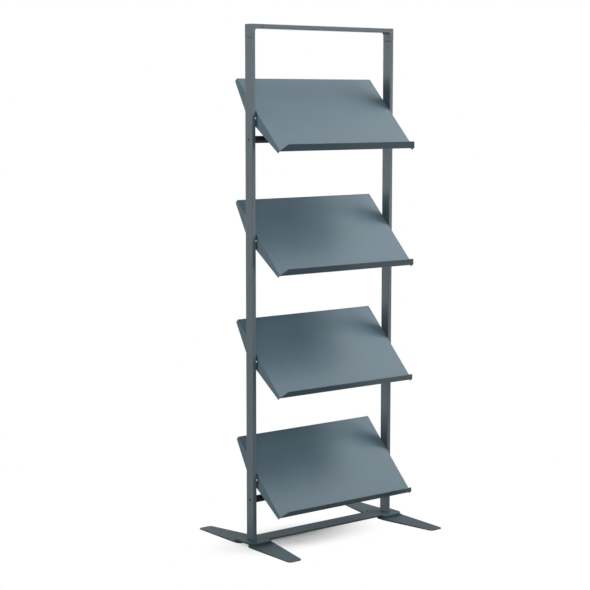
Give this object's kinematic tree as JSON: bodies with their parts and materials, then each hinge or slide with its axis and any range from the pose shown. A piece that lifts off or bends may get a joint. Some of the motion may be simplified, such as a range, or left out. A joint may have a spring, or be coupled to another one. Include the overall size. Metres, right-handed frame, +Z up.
{
  "type": "periodical display rack",
  "caption": "Free-standing rack with a slim tube frame on flat tapered feet and sloping lipped sheet-metal shelves that tilt, for showing periodicals.",
  "frame": {"origin": "on the floor under the middle of the frame", "axes": "+Z up, +X to the viewer's right along the shelves, -Y to the front where the shelves slope down"},
  "size_m": [0.7, 0.54, 1.792],
  "materials": {
    "frame_paint": "slate grey satin powder coat",
    "shelf_paint": "slate grey satin powder coat",
    "rail_paint": "dark grey satin powder coat",
    "black_steel": "blackened",
    "zinc_steel": "zinc plated"
  },
  "bodies": {
    "frame": {"left_post": "frame_paint", "left_corner": "frame_paint", "left_post_plug": "zinc_steel", "right_post": "frame_paint", "right_corner": "frame_paint", "right_post_plug": "zinc_steel", "top_bar": "frame_paint", "upper_rail": "rail_paint", "upper_rail_left_screw": "black_steel", "upper_rail_right_screw": "black_steel", "lower_rail": "rail_paint", "lower_rail_left_screw": "black_steel", "lower_rail_right_screw": "black_steel", "shelf_1_left_pivot_screw": "black_steel", "shelf_1_left_lock_screw": "black_steel", "shelf_1_left_nut_plate": "zinc_steel", "shelf_1_right_pivot_screw": "black_steel", "shelf_1_right_lock_screw": "black_steel", "shelf_1_right_nut_plate": "zinc_steel", "shelf_2_left_pivot_screw": "black_steel", "shelf_2_left_lock_screw": "black_steel", "shelf_2_left_nut_plate": "zinc_steel", "shelf_2_right_pivot_screw": "black_steel", "shelf_2_right_lock_screw": "black_steel", "shelf_2_right_nut_plate": "zinc_steel", "shelf_3_left_pivot_screw": "black_steel", "shelf_3_left_lock_screw": "black_steel", "shelf_3_left_nut_plate": "zinc_steel", "shelf_3_right_pivot_screw": "black_steel", "shelf_3_right_lock_screw": "black_steel", "shelf_3_right_nut_plate": "zinc_steel", "shelf_4_left_pivot_screw": "black_steel", "shelf_4_left_lock_screw": "black_steel", "shelf_4_left_nut_plate": "zinc_steel", "shelf_4_right_pivot_screw": "black_steel", "shelf_4_right_lock_screw": "black_steel", "shelf_4_right_nut_plate": "zinc_steel", "base_plate": "frame_paint", "front_left_arm": "frame_paint", "front_left_arm_screw_1": "zinc_steel", "front_left_arm_screw_2": "zinc_steel", "front_left_post_screw": "zinc_steel", "back_left_arm": "frame_paint", "back_left_arm_screw_1": "zinc_steel", "back_left_arm_screw_2": "zinc_steel", "back_left_post_screw": "zinc_steel", "front_right_arm": "frame_paint", "front_right_arm_screw_1": "zinc_steel", "front_right_arm_screw_2": "zinc_steel", "front_right_post_screw": "zinc_steel", "back_right_arm": "frame_paint", "back_right_arm_screw_1": "zinc_steel", "back_right_arm_screw_2": "zinc_steel", "back_right_post_screw": "zinc_steel"},
    "shelf_1_body": {"shelf_1": "shelf_paint"},
    "shelf_2_body": {"shelf_2": "shelf_paint"},
    "shelf_3_body": {"shelf_3": "shelf_paint"},
    "shelf_4_body": {"shelf_4": "shelf_paint"}
  },
  "joints": [
    {"name": "shelf_1_tilt", "type": "hinge", "parent": "frame", "child": "shelf_1_body", "pos_m": [0, 0, 1.502], "axis": [1, 0, 0], "range_deg": [-45, 0]},
    {"name": "shelf_2_tilt", "type": "hinge", "parent": "frame", "child": "shelf_2_body", "pos_m": [0, 0, 1.086], "axis": [1, 0, 0], "range_deg": [-45, 0]},
    {"name": "shelf_3_tilt", "type": "hinge", "parent": "frame", "child": "shelf_3_body", "pos_m": [0, 0, 0.67], "axis": [1, 0, 0], "range_deg": [-45, 0]},
    {"name": "shelf_4_tilt", "type": "hinge", "parent": "frame", "child": "shelf_4_body", "pos_m": [0, 0, 0.254], "axis": [1, 0, 0], "range_deg": [-45, 0]}
  ]
}
